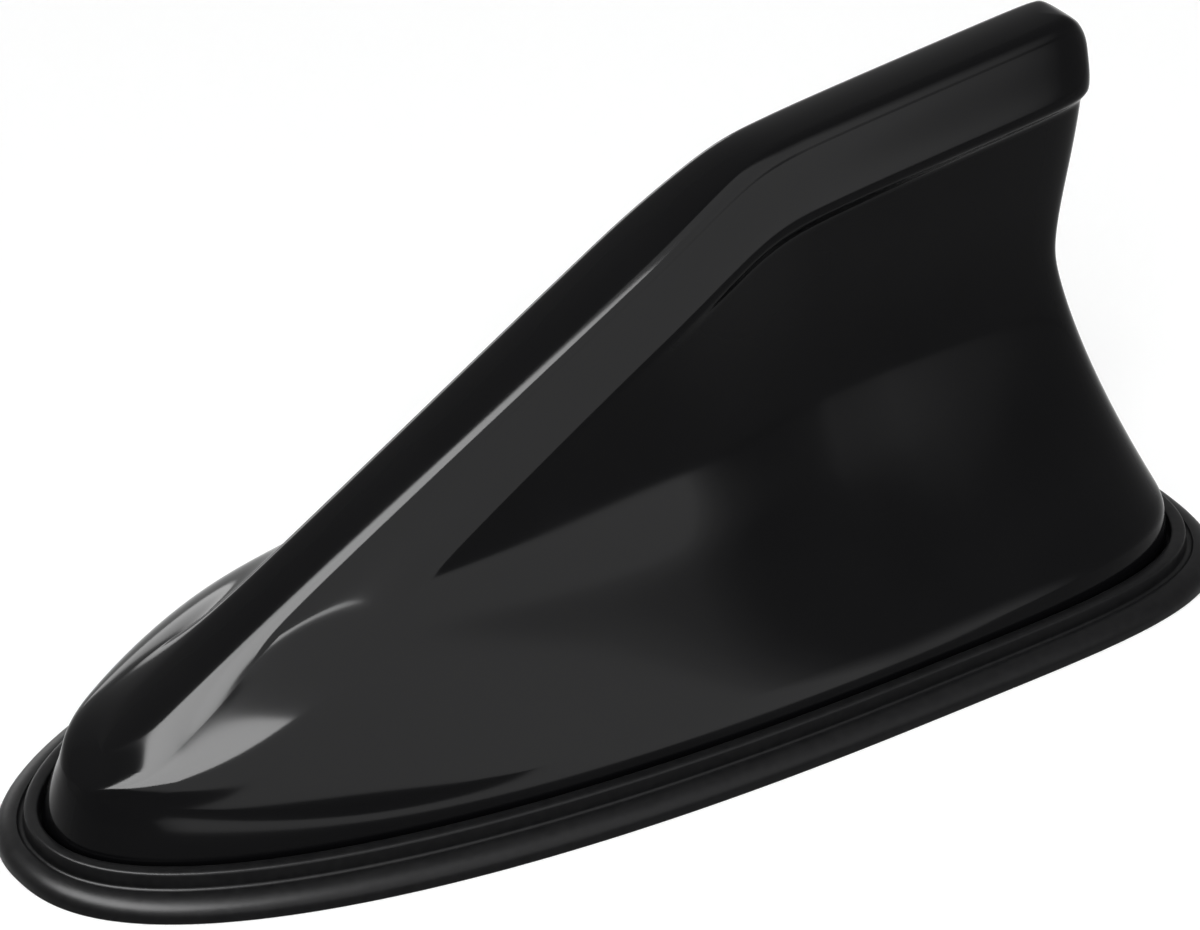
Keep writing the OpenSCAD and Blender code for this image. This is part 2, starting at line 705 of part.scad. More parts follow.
module holder_screws() {
    color("#a9aaac") {
        screw([front_screw_x, 0], board_top + foot_h, foot_h + board_screw_len,
            small_screw_r, small_head_r, small_head_h, false);
        screw([rear_screw_x, 0], plate_top + foot_h, foot_h + plate_top - pad_t - 0.8,
            small_screw_r, small_head_r, small_head_h, false);
    }
}
// Folded sheet that caps the rail: the aerial's top load
plate_ends = 1.5;
fold_in = holder_t / 2 + thread_gap;
module top_plate() {
    low = sheet_t + thread_gap - fold_h;
    color("#c3c6c8") difference() {
        upright(2 * (fold_in + sheet_t))
            strip(rail_x + plate_ends, rail_end - plate_ends, low, sheet_t + thread_gap);
        upright(2 * fold_in) strip(rail_x, rail_end, low - 1, thread_gap);
    }
}

peg_r = 1.5;
former_top = rail_z(coil_x - coil_r) + sheet_t + thread_gap - fold_h - 1.2;
coil_low = board_top + 2.5;
coil_high = former_top + wire_r + 0.1;
feed_top = board_top + 0.6;
module coil_former() {
    color("#d8d4c8") union() {
        post([coil_x, 0], board_top, former_top, former_r);
        post([coil_x, 0], board_z - 0.6, board_top + eps, peg_r);
    }
}

// The coil's wire: rings of coil_sides points along a helix, closed at both ends
coil_seg = 12;
coil_sides = 6;
function coil_ring(k, n) =
    let(a = 360 * k / coil_seg, z = coil_low + (coil_high - coil_low) * k / n)
    [for (q = [0 : coil_sides - 1])
        let(b = 360 * q / coil_sides, r = coil_r + wire_r * cos(b))
        [coil_x + r * cos(a), r * sin(a), z + wire_r * sin(b)]];
module loading_coil() {
    n = (floor(coil_turns) + 0.25) * coil_seg;
    contact = fold_in + sheet_t + wire_r + 0.02;
    color("#b8743a") union() {
        polyhedron(
            points = [for (k = [0 : n]) each coil_ring(k, n)],
            faces = concat(
                wall_faces(n + 1, coil_sides),
                [[for (i = [coil_sides - 1 : -1 : 0]) i]],
                [[for (i = [0 : coil_sides - 1]) n * coil_sides + i]]));
        translate([coil_x, contact, coil_high]) cylinder(h = 7, r = wire_r);
        post([coil_x + coil_r, 0], feed_top, coil_low + wire_r / 2, wire_r);
    }
}
module feed_tab() {
    x = coil_x + former_r + former_gap;
    color("#c9a75b") box(x, x + tab_len, -1, 1, board_top, feed_top);
}

fin_cover();
base_gasket();
base_plate();
adhesive_pad();
cover_screws();
perimeter_seal();
cable_grommet();
ground_plate();
ground_springs();
circuit_board();
board_screws();
shield_can();
amplifier_chip();
regulator_chip();
filter_capacitor();
filter_coils();
chip_capacitors();
chip_resistors();
coax_header();
power_header();
element_holder();
holder_screws();
top_plate();
coil_former();
loading_coil();
feed_tab();
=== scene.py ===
"""Dresses a shark fin aerial for a car roof: the gloss black fin, its rubber base and the parts inside.

Sizes are in metres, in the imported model's frame: +X runs from the nose to the tail, +Z is up and z = 0 is
the roof. The aerial is symmetric about the XZ plane.
"""

import json
import logging
import math
from dataclasses import dataclass, field
from enum import Enum
from functools import lru_cache

import bmesh
import bpy
import numpy as np
from mathutils import Matrix, Vector


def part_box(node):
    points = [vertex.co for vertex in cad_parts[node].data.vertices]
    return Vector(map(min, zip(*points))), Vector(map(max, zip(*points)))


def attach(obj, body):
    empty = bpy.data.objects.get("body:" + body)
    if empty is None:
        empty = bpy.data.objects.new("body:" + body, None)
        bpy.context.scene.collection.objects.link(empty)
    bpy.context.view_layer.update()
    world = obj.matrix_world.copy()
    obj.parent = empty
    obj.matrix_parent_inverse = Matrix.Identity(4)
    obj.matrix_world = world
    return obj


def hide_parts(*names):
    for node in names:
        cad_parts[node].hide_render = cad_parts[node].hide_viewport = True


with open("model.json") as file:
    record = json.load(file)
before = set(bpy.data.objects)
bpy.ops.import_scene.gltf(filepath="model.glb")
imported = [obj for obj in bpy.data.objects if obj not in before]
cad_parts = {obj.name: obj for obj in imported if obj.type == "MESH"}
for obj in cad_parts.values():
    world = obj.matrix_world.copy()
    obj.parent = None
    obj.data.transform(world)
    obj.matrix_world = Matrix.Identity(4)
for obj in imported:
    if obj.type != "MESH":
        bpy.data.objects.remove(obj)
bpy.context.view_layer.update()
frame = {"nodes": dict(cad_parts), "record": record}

MM = 0.001
IMAGE_W = 1200
IMAGE_H = 930
SENSOR_W = 36.0
# Texture settings that the grains share
WAVE_DISTORTION = 0.6
BRUSH_STRETCH = (0.06, 1.0, 1.0)
SMOOTH_DETAIL = 2.0
ROUGH_DETAIL = 6.0
TINT_RANGE = (0.3, 0.7)
BUMP_DEPTH = 0.1 * MM
log = logging.getLogger("aerial")


def clamp01(t: np.ndarray) -> np.ndarray:
    """Returns t held between 0 and 1."""
    return np.clip(t, 0.0, 1.0)


def ease(start: float, end: float, x: np.ndarray) -> np.ndarray:
    """Smooth step: 0 before start, 1 after end, and 3t^2 - 2t^3 between them.

    Args:
        start: Where the step begins.
        end: Where the step ends.
        x: Where it is read.

    Returns:
        The height of the step, from 0 to 1.
    """
    t = clamp01((x - start) / (end - start))
    return t * t * (3 - 2 * t)


def swell(c: np.ndarray, s: np.ndarray, power: float) -> np.ndarray:
    """Returns how far a superellipse of that power reaches in the direction (c, s)."""
    return (np.abs(c) ** power + np.abs(s) ** power) ** (-1 / power)


def blend_at_corner(
    start: np.ndarray, corner: np.ndarray, end: np.ndarray, rows: int
) -> list[np.ndarray]:
    """Rows that round a corner: a quadratic curve (1-t)^2 start + 2t(1-t) corner + t^2 end.

    Args:
        start: Points before the corner, one for each column.
        corner: The corner's points.
        end: Points after the corner.
        rows: How many rows to make, both ends included.

    Returns:
        The rows, in order.
    """
    return [
        (1 - t) ** 2 * start + 2 * t * (1 - t) * corner + t * t * end
        for t in np.linspace(0, 1, rows)
    ]


def mirrored(half: np.ndarray) -> np.ndarray:
    """Closes half rings, from nose to tail on +Y, with their mirror image.

    Args:
        half: Points of shape (rows, columns, 3).

    Returns:
        Rings of shape (rows, 2 * columns - 2, 3).
    """
    other = half[:, -2:0:-1] * np.array([1.0, -1.0, 1.0])
    return np.concatenate([half, other], axis=1)


def ring_faces(rows: int, cols: int, closed_rows: bool = False) -> np.ndarray:
    """Quads between rings that follow each other.

    Args:
        rows: Number of rings.
        cols: Points in each ring.
        closed_rows: True if the last ring joins the first.

    Returns:
        Vertex numbers of shape (faces, 4), facing outwards for rings that run from +Y's side up.
    """
    k = np.arange(rows if closed_rows else rows - 1)[:, None]
    i = np.arange(cols)[None, :]
    j = (i + 1) % cols
    n = (k + 1) % rows
    corners = np.broadcast_arrays(k * cols + i, n * cols + i, n * cols + j, k * cols + j)
    return np.stack(corners, axis=-1).reshape(-1, 4)


def smooth_mesh(
    name: str, points: np.ndarray, quads: np.ndarray, merge: float = 0.0
) -> bpy.types.Object:
    """Makes a smooth-shaded object from arrays.

    Args:
        name: Name of the piece.
        points: Vertices of shape (n, 3).
        quads: Vertex numbers of shape (m, 4).
        merge: Distance under which vertices become one, or 0 to keep all.

    Returns:
        The linked object, at the origin.
    """
    mesh = bpy.data.meshes.new(name)
    mesh.vertices.add(len(points))
    mesh.vertices.foreach_set("co", points.astype(np.float32).ravel())
    mesh.loops.add(quads.size)
    mesh.loops.foreach_set("vertex_index", quads.astype(np.int32).ravel())
    mesh.polygons.add(len(quads))
    mesh.polygons.foreach_set("loop_start", np.arange(0, quads.size, 4, dtype=np.int32))
    mesh.update(calc_edges=True)
    mesh.validate()
    if merge:
        grid = bmesh.new()
        grid.from_mesh(mesh)
        bmesh.ops.remove_doubles(grid, verts=grid.verts, dist=merge)
        bmesh.ops.recalc_face_normals(grid, faces=grid.faces)
        grid.to_mesh(mesh)
        grid.free()
    mesh.polygons.foreach_set("use_smooth", np.ones(len(mesh.polygons), dtype=bool))
    piece = bpy.data.objects.new(name, mesh)
    bpy.context.scene.collection.objects.link(piece)
    return piece


@dataclass(frozen=True)
class Plan:
    """Outline of the cover's foot seen from above: superellipse quarters ahead of and behind wide_x.

    Attributes:
        length: Length of the whole base, its rubber flange included.
        width: Width of the whole base.
        flange: How far the rubber reaches out from the cover's foot.
        wide_x: Station of the widest place.
        nose_round: Power of the quarters ahead.
        tail_square: Power of the quarters behind.
        rubber_fuller: What the rubber's outer edge adds to nose_round.
    """

    length: float
    width: float
    flange: float = 5.2 * MM
    wide_x: float = 27 * MM
    nose_round: float = 2.1
    tail_square: float = 4.8
    rubber_fuller: float = 0.2

    @property
    def half_l(self) -> float:
        """Half the cover's length."""
        return self.length / 2 - self.flange

    @property
    def half_w(self) -> float:
        """Half the cover's width."""
        return self.width / 2 - self.flange

    def point(
        self, turn: np.ndarray, out: float | np.ndarray, square: float = 0.0
    ) -> tuple[np.ndarray, np.ndarray]:
        """A point of the outline on +Y's side.

        Args:
            turn: 0 at the nose, 1 at the widest place and 2 at the tail.
            out: How far the outline is moved out.
            square: Power of the tail's superellipse, or 0 for the foot's own.

        Returns:
            x and y of the points.
        """
        ahead = self.nose_round + self.rubber_fuller * clamp01(out / self.flange)
        behind = square or self.tail_square
        a = np.radians(90 * np.clip(turn, 0, 1))
        reach = swell(np.cos(a), np.sin(a), ahead)
        nose_x = self.wide_x - (self.wide_x + self.half_l + out) * np.cos(a) * reach
        nose_y = (self.half_w + out) * np.sin(a) * reach
        b = np.radians(90 * np.clip(2 - turn, 0, 1))
        reach = swell(np.cos(b), np.sin(b), behind)
        tail_x = self.wide_x + (self.half_l + out - self.wide_x) * np.cos(b) * reach
        tail_y = (self.half_w + out) * np.sin(b) * reach
        return np.where(turn <= 1, nose_x, tail_x), np.where(turn <= 1, nose_y, tail_y)


@dataclass
class FinCover:
    """The moulded cover: a ridge over concave sides that flare into a slightly slanted sill.

    A pair whose name ends in _x is a stretch of the cover, in shares of half its length from the middle.

    Attributes:
        plan: Outline of the foot.
        height: Height of the crown if it ran on to the tip.
        ledge_z: Height of the ledge that the foot stands on.
        lip_z: Height at which the sill comes out of the gap.
        wall: Wall thickness.
        nose_set: How far the ridge's front end stands behind the foot's nose.
        nose_lean: Length over which nose_set fades.
        front_len: Length over which the ridge widens behind its front end.
        tip_set: How far the ridge's tip stands ahead of the foot's tail.
        tip_square: Power of the ridge's plan at the tip.
        tail_lean: Length over which tip_set fades.
        head_len: Length of the head, from the bend to the tip.
        front_h: Height of the ridge's front end.
        head_angle: Slope of the head, in degrees.
        bend_soft: Softness of the bend between the leading slope and the head.
        ridge_half: Half the ridge's width at the nose, in the middle and at the tip.
        shoulder_r: Size of the rounding between the ridge and the side.
        front_drop: Share of that rounding left at the ridge's front end.
        crown: How far the ridge's top bulges.
        bevel_h: Height of the slanted band under the shoulder.
        bevel_w: How far the band leans out.
        crease: Depth of the crease under the band.
        crease_from: How far below the ridge the crease starts.
        crease_h: Height over which it deepens.
        head_rear: How far the head's rear edge stands out.
        head_rise: Depth below the ridge at which it stands out fully.
        head_fade: Length over which that fades ahead of the tail.
        head_low: Depths between which it ends below the head.
        waist: How far the rear edge curves in.
        waist_soft: Softness of the waist.
        waist_fade: Length over which the waist fades ahead of the tail.
        flare_h: Height over the sill at which the flare starts.
        flare_tail_h: The same at the tail.
        flare_k: Power of the flare.
        flare_blend: Power of the soft minimum.
        hull_top: Height of the round hull at the nose.
        hull_power: Power of the hull's section.
        hull_soft: Softness of the hull's top.
        hull_x: Where the hull ends.
        widen_x: Where the ridge widens behind the nose.
        narrow_x: Where it narrows towards the tip.
        crease_x: Where the crease comes in.
        flare_x: Where flare_h changes to flare_tail_h.
        spine_end: How far ahead of the tip the crown is highest.
        fillet: Size of the hollow between hull and fin.
        hump: Factor that brings the peak of h^2 (1 - h) to 1.
        ridge_rise: What the ridge rises for each unit that the surface is moved out.
        sill_rise: What the sill's top rises for each unit.
        rise_soft: Softness of the hull's front.
        sill: Height of the sill over lip_z at the nose, in the middle and at the tail.
        sill_fade: Length over which the nose's sill height fades.
        draft: Slant of the sill, ahead of the widest place and at the tail.
        sill_r: Size of the rounding on top of the sill.
        sill_r_share: Most of the side's height that sill_r may take.
        shoulder_r_share: Most of the side's height that shoulder_r may take.
        columns: Columns from the nose to the tail.
        side_rows: Rows on the outer side.
        edge_rows: Rows in half an outer rounding.
        inner_side_rows: Rows on the inner side.
        inner_edge_rows: Rows in half an inner rounding.
        merge: Distance under which vertices become one.
    """

    plan: Plan
    height: float
    ledge_z: float
    lip_z: float = 4.85 * MM
    wall: float = 2 * MM
    nose_set: float = 7 * MM
    nose_lean: float = 66 * MM
    front_len: float = 7 * MM
    tip_set: float = 6.4 * MM
    tip_square: float = 12
    tail_lean: float = 20 * MM
    head_len: float = 49 * MM
    front_h: float = 14.4 * MM
    head_angle: float = 4.2
    bend_soft: float = 5 * MM
    ridge_half: tuple[float, float, float] = (4.9 * MM, 5.4 * MM, 4.1 * MM)
    shoulder_r: float = 1.5 * MM
    front_drop: float = 0.15
    crown: float = 0.5 * MM
    bevel_h: float = 9 * MM
    bevel_w: float = 3.8 * MM
    crease: float = 0.9 * MM
    crease_from: float = 8.7 * MM
    crease_h: float = 1.9 * MM
    head_rear: float = 3.4 * MM
    head_rise: float = 4.5 * MM
    head_fade: float = 5 * MM
    head_low: tuple[float, float] = (12 * MM, 34 * MM)
    waist: float = 6.7 * MM
    waist_soft: float = 0.073
    waist_fade: float = 14 * MM
    flare_h: float = 47 * MM
    flare_tail_h: float = 41 * MM
    flare_k: float = 2.5
    flare_blend: float = 6
    hull_top: float = 27.5 * MM
    hull_power: float = 1.45
    hull_soft: float = 0.12
    hull_x: tuple[float, float] = (-0.64, 0.585)
    widen_x: tuple[float, float] = (-0.64, 0.13)
    narrow_x: tuple[float, float] = (0.065, 0.385)
    crease_x: tuple[float, float] = (0, 0.515)
    flare_x: tuple[float, float] = (0.26, 1)
    spine_end: float = 2.6 * MM
    fillet: float = 6.5 * MM
    hump: float = 6.75
    ridge_rise: float = 1.16
    sill_rise: float = 0.7
    rise_soft: float = 0.18
    sill: tuple[float, float, float] = (5.9 * MM, 2.6 * MM, 3.9 * MM)
    sill_fade: float = 26 * MM
    draft: tuple[float, float] = (0.4, 0.13)
    sill_r: float = 0.9 * MM
    sill_r_share: float = 0.2
    shoulder_r_share: float = 0.4
    columns: int = 261
    side_rows: int = 110
    edge_rows: int = 5
    inner_side_rows: int = 24
    inner_edge_rows: int = 2
    merge: float = 0.002 * MM

    @property
    def tip_x(self) -> float:
        """Where the ridge ends."""
        return self.plan.half_l - self.tip_set

    @property
    def bend_x(self) -> float:
        """Where the leading slope bends into the head."""
        return self.tip_x - self.head_len

    def runs(self, d: np.ndarray) -> tuple[np.ndarray, np.ndarray]:
        """Runs on the leading slope and on the head's slope, from the tip to d ahead of the bend."""
        soft = np.hypot(d, self.bend_soft) - math.hypot(self.head_len, self.bend_soft)
        return (d - self.head_len - soft) / 2, (d - self.head_len + soft) / 2

    def ridge_z(self, x: np.ndarray) -> np.ndarray:
        """Height of the ridge over x: two straight slopes joined by a hyperbola's bend."""
        head = math.tan(math.radians(self.head_angle))
        front = self.runs(self.nose_set - self.plan.half_l - self.bend_x)
        lead = (self.front_h - self.height + self.crown - head * front[1]) / front[0]
        on_lead, on_head = self.runs(x - self.bend_x)
        return self.height - self.crown + lead * on_lead + head * on_head

    def over(self, window: tuple[float, float], x: np.ndarray) -> np.ndarray:
        """Smooth step over a window whose ends are shares of half the cover's length."""
        return ease(window[0] * self.plan.half_l, window[1] * self.plan.half_l, x)

    def ridge_width(self, x: np.ndarray) -> np.ndarray:
        """Half the ridge's width over x."""
        nose, mid, tip = self.ridge_half
        return nose + (mid - nose) * self.over(self.widen_x, x) + (tip - mid) * self.over(self.narrow_x, x)

    def sill_z(self, x: np.ndarray) -> np.ndarray:
        """Height of the sill's top over x, highest at the nose."""
        nose, mid, tail = self.sill
        at_nose = np.exp(-(((x + self.plan.half_l) / self.sill_fade) ** 2))
        at_tail = ease(self.plan.wide_x, self.plan.half_l, x)
        return self.lip_z + mid + (nose - mid) * at_nose + (tail - mid) * at_tail

    def base(self, turn: np.ndarray, out: float) -> tuple[np.ndarray, np.ndarray]:
        """The sill's upper outline, drawn in from the foot by the draft of the sill's face."""
        x, _ = self.plan.point(turn, out)
        rest, tail = self.draft
        slope = rest + (tail - rest) * ease(self.plan.wide_x, self.plan.half_l, x)
        return self.plan.point(turn, out - slope * (self.sill_z(x) - self.lip_z))

    def ridge(self, turn: np.ndarray, out: float) -> tuple[np.ndarray, np.ndarray]:
        """Station on the ridge of each column, and the share of the ridge's width left there."""
        half_l = self.plan.half_l
        x, y = self.plan.point(turn, out, self.tip_square)
        ahead = self.nose_set * np.exp(-(x + half_l + out) / self.nose_lean)
        behind = self.tip_set * np.exp((x - half_l - out) / self.tail_lean)
        rx = x + ahead - behind
        f = clamp01((rx + half_l + out - self.nose_set) / self.front_len)
        share = np.where(turn < 1, np.sqrt(1 - (1 - f) ** 2), y / (self.plan.half_w + out))
        return rx, share

    def rear_bow(self, h: np.ndarray) -> np.ndarray:
        """How far the rear edge curves in at share h of its height: two straight runs and a soft waist."""
        return -self.waist * (1 - np.hypot(2 * h - 1, self.waist_soft))

    def soft_min(self, a: np.ndarray, b: np.ndarray) -> np.ndarray:
        """The lesser of two heights, with a soft change from one to the other."""
        return (a**-self.flare_blend + b**-self.flare_blend) ** (-1 / self.flare_blend)

    def front_bow(self, h: np.ndarray) -> np.ndarray:
        """Share of the way from the ridge out to the foot that the hull keeps at share h of its height."""
        soft = self.rise_soft
        return 1 - (np.sqrt(h * h + soft * soft) - soft) / (math.hypot(1, soft) - soft)

    def fin_half(
        self, flat: np.ndarray, bx: np.ndarray, by: np.ndarray, up: np.ndarray, tall: np.ndarray
    ) -> np.ndarray:
        """Half the fin's width: flat above, and a flare that reaches the foot's outline below.

        Args:
            flat: Half the width above the flare.
            bx: Station of the foot's outline.
            by: Half the width of the foot's outline.
            up: Height over the sill.
            tall: Height of the ridge over the sill.

        Returns:
            The half widths.
        """
        reach = self.flare_h + (self.flare_tail_h - self.flare_h) * self.over(self.flare_x, bx)
        return flat + (by - flat) * clamp01(1 - up / self.soft_min(reach, tall)) ** self.flare_k

    def hull_half(self, by: np.ndarray, up: np.ndarray, hull_h: np.ndarray) -> np.ndarray:
        """Half the round hull's width: by at the sill, with a round and slightly soft top at hull_h."""
        room = 1 - (np.maximum(up, 0) / hull_h) ** self.hull_power
        return by * room * ((1 + self.hull_soft**2) / (room**2 + self.hull_soft**2)) ** 0.25

    def side(self, turn: np.ndarray, h: np.ndarray, out: float) -> np.ndarray:
        """Points on the side.

        The foot's outline and the ridge are joined by a slanted band under the shoulder, a crease, a flat
        stretch and a flare that falls off with the power flare_k. Near the nose the fin rises out of a
        round hull, with a soft hollow between them.

        Args:
            turn: Column, 0 to 2, of shape (1, columns).
            h: Share of the height, of shape (rows, 1).
            out: How far the surface is moved out.

        Returns:
            Points of shape (rows, columns, 3).
        """
        bx, by = self.base(turn, out)
        z0 = self.sill_z(bx) + self.sill_rise * out
        rx, share = self.ridge(turn, out)
        rz = self.ridge_z(rx) + self.ridge_rise * out
        tall = rz - z0
        z = z0 + tall * h
        depth = rz - z
        under = ease(self.crease_from, self.crease_from + self.crease_h, depth)
        crease = self.crease * self.over(self.crease_x, rx) * under
        lean = self.bevel_w * ease(0, self.bevel_h, depth) - crease
        flat = (self.ridge_width(rx) + out) * share + lean * share
        fin_y = self.fin_half(flat, bx, by, z - z0, tall)
        hull_h = self.soft_min(self.hull_top - z0 + self.sill_rise * out, tall)
        hull_y = self.hull_half(by, z - z0, hull_h)
        hollow = self.fillet * self.hump * h * h * (1 - h)
        joined_y = (fin_y + hull_y + np.hypot(fin_y - hull_y, hollow)) / 2
        ahead = 1 - self.over(self.hull_x, bx)
        past = bx - self.plan.half_l - out
        waist = np.exp(past / self.waist_fade) * self.rear_bow(h)
        head = np.exp(past / self.head_fade) * (1 - ease(*self.head_low, depth))
        upright = 1 - (1 - clamp01(depth / self.head_rise)) ** 2
        x = rx + (bx - rx) * (self.front_bow(h) * ahead + (1 - h) * (1 - ahead)) + waist
        x = x + head * (self.head_rear * upright - self.crease * under)
        y = joined_y * ahead + fin_y * (1 - ahead)
        return np.stack(np.broadcast_arrays(x, y, z), axis=-1)

    def crown_row(self, turn: np.ndarray, f: float | np.ndarray, out: float) -> np.ndarray:
        """Points across the top of the ridge.

        Args:
            turn: Column, of shape (columns,).
            f: Share of the way from the middle line out to the ridge's edge.
            out: How far the surface is moved out.

        Returns:
            Points of shape (columns, 3).
        """
        rx, share = self.ridge(turn, out)
        half = self.ridge_width(rx) + out
        spine = np.minimum(rx, self.tip_x + out - self.spine_end)
        x = spine + (rx - spine) * f
        domed = np.where(turn < 1, share, 1.0)
        z = self.ridge_z(x) + self.ridge_rise * out + self.crown * (1 - f * f) * domed
        return np.stack([x, half * share * f, z], axis=-1)

    def skin(self, out: float, rows: int, fine: int) -> np.ndarray:
        """Rings from the foot over the sill, the side and the shoulder to the middle line.

        Args:
            out: How far the surface is moved out.
            rows: Rows on the side.
            fine: Rows in half of a rounded edge.

        Returns:
            Closed rings of shape (rings, points, 3).
        """
        turn = np.linspace(0, 2, self.columns)
        rx, share = self.ridge(turn, out)
        tall = self.ridge_z(rx) + self.ridge_rise * out - self.sill_z(rx)
        low = np.minimum(self.sill_r / tall, self.sill_r_share)
        drop = np.where(turn < 1, self.front_drop + (1 - self.front_drop) * share, 1.0)
        high = 1 - np.minimum(self.shoulder_r * drop / tall, self.shoulder_r_share)
        h = low + (high - low) * np.sin(np.linspace(0, math.pi / 2, rows))[:, None]
        side = self.side(turn[None, :], h, out)
        corner = self.side(turn[None, :], np.zeros((1, 1)), out)[0]
        x, y = self.plan.point(turn, out)
        foot = np.stack([x, y, np.full_like(x, self.ledge_z)], axis=-1)
        lip = np.stack([x, y, np.full_like(x, self.lip_z)], axis=-1)
        below = corner + (lip - corner) * self.sill_r / (corner[:, 2:] - self.lip_z)
        rows_up = [foot, lip] + blend_at_corner(below, corner, side[0], 2 * fine + 1)[:-1]
        edge = self.side(turn[None, :], np.ones((1, 1)), out)[0]
        flat_share = 1 - self.shoulder_r / (self.ridge_width(rx) + out)
        shoulder = blend_at_corner(side[-1], edge, self.crown_row(turn, flat_share, out), 2 * fine + 1)[1:]
        crown = [self.crown_row(turn, flat_share * f, out) for f in np.linspace(1, 0, fine + 1)[1:]]
        return mirrored(np.stack(rows_up + list(side) + shoulder + crown))

    def build(self) -> bpy.types.Object:
        """Makes the cover: outer skin, inner skin and the foot's rim between them.

        Returns:
            The closed shell.
        """
        outer = self.skin(0.0, self.side_rows, self.edge_rows)
        inner = self.skin(-self.wall, self.inner_side_rows, self.inner_edge_rows)
        rings = np.concatenate([inner[::-1], outer])
        quads = ring_faces(len(rings), rings.shape[1])
        return smooth_mesh("gloss_fin", rings.reshape(-1, 3), quads, self.merge)


@dataclass
class BaseGasket:
    """The rubber base: a ledge, an upright lip, a groove, a convex flange and a square rim.

    Attributes:
        plan: Outline of the cover's foot.
        ledge_z: Height of the ledge that carries the cover.
        lip_z: Height of the lip.
        inner: How far the ledge reaches in from the cover's outline.
        lip_gap: Gap between the cover and the lip.
        lip_t: Thickness of the lip.
        lip_round: Height of the lip's rounded top.
        lip_power: How full that top is.
        cover_gap: Play round the cover's foot on the ledge.
        channel: How far the gap's floor lies below the ledge.
        rim_h: Height of the flange's upright rim.
        rim_r: Rounding of the rim's lower edge.
        crest_drop: How far the flange's crest lies below the ledge.
        groove: Depth of the groove between lip and flange.
        groove_half: Half the groove's width.
        groove_band: Width of the strip that the groove runs in.
        columns: Columns from the nose to the tail.
        merge: Distance under which vertices become one.
    """

    plan: Plan
    ledge_z: float
    lip_z: float = 4.85 * MM
    inner: float = 4.5 * MM
    lip_gap: float = 0.4 * MM
    lip_t: float = 1.6 * MM
    lip_round: float = 0.45 * MM
    lip_power: float = 0.6
    cover_gap: float = 0.15 * MM
    channel: float = 0.5 * MM
    rim_h: float = 0.9 * MM
    rim_r: float = 0.25 * MM
    crest_drop: float = 0.1 * MM
    groove: float = 0.4 * MM
    groove_half: float = 0.4 * MM
    groove_band: float = 0.9 * MM
    columns: int = 181
    merge: float = 0.001 * MM

    def section(self) -> np.ndarray:
        """The closed section as rows of (out from the cover, height), from the inner edge outwards.

        Returns:
            Points of shape (n, 2).
        """
        flange = self.plan.flange
        lip = self.lip_gap + self.lip_t
        crest = self.ledge_z - self.crest_drop
        start = lip + self.groove_band
        foot = np.array([[-self.inner, 0.0]])
        b = np.radians(np.linspace(0, 90, 5))
        rim = np.stack([
            flange - self.rim_r + self.rim_r * np.sin(b),
            self.rim_r - self.rim_r * np.cos(b),
        ], 1)
        a = np.radians(np.linspace(0, 90, 13))
        bow = np.stack([
            start + (flange - start) * np.cos(a),
            self.rim_h + (crest - self.rim_h) * np.sin(a),
        ], 1)
        c = np.radians(np.linspace(0, 180, 9))
        dip = np.stack([
            lip + self.groove_band / 2 + self.groove_half * np.cos(c),
            crest - self.groove * np.sin(c),
        ], 1)
        half = self.lip_t / 2
        lip_top = np.stack([
            self.lip_gap + half + half * np.sign(np.cos(c)) * np.abs(np.cos(c)) ** self.lip_power,
            self.lip_z - self.lip_round + self.lip_round * np.sin(c) ** self.lip_power,
        ], 1)
        floor = self.ledge_z - self.channel
        ledge = np.array([
            [self.lip_gap, floor],
            [self.cover_gap, floor],
            [self.cover_gap, self.ledge_z],
            [-self.inner, self.ledge_z],
        ])
        return np.concatenate([foot, rim, bow, dip, lip_top, ledge])

    def build(self) -> bpy.types.Object:
        """Sweeps the section round the cover's outline.

        Returns:
            The closed ring.
        """
        turn = np.linspace(0, 2, self.columns)
        rows = []
        for out, z in self.section():
            x, y = self.plan.point(turn, out)
            rows.append(np.stack([x, y, np.full_like(x, z)], axis=-1))
        rings = mirrored(np.stack(rows))
        quads = ring_faces(len(rings), rings.shape[1], closed_rows=True)
        return smooth_mesh("rubber_base", rings.reshape(-1, 3), quads, self.merge)


class Grain(Enum):
    """What breaks up a finish."""

    POLISHED = "polished"
    MOULDED = "moulded"
    FOAM = "foam"
    BRUSHED = "brushed"
    WOVEN = "woven"
    WOUND = "wound"


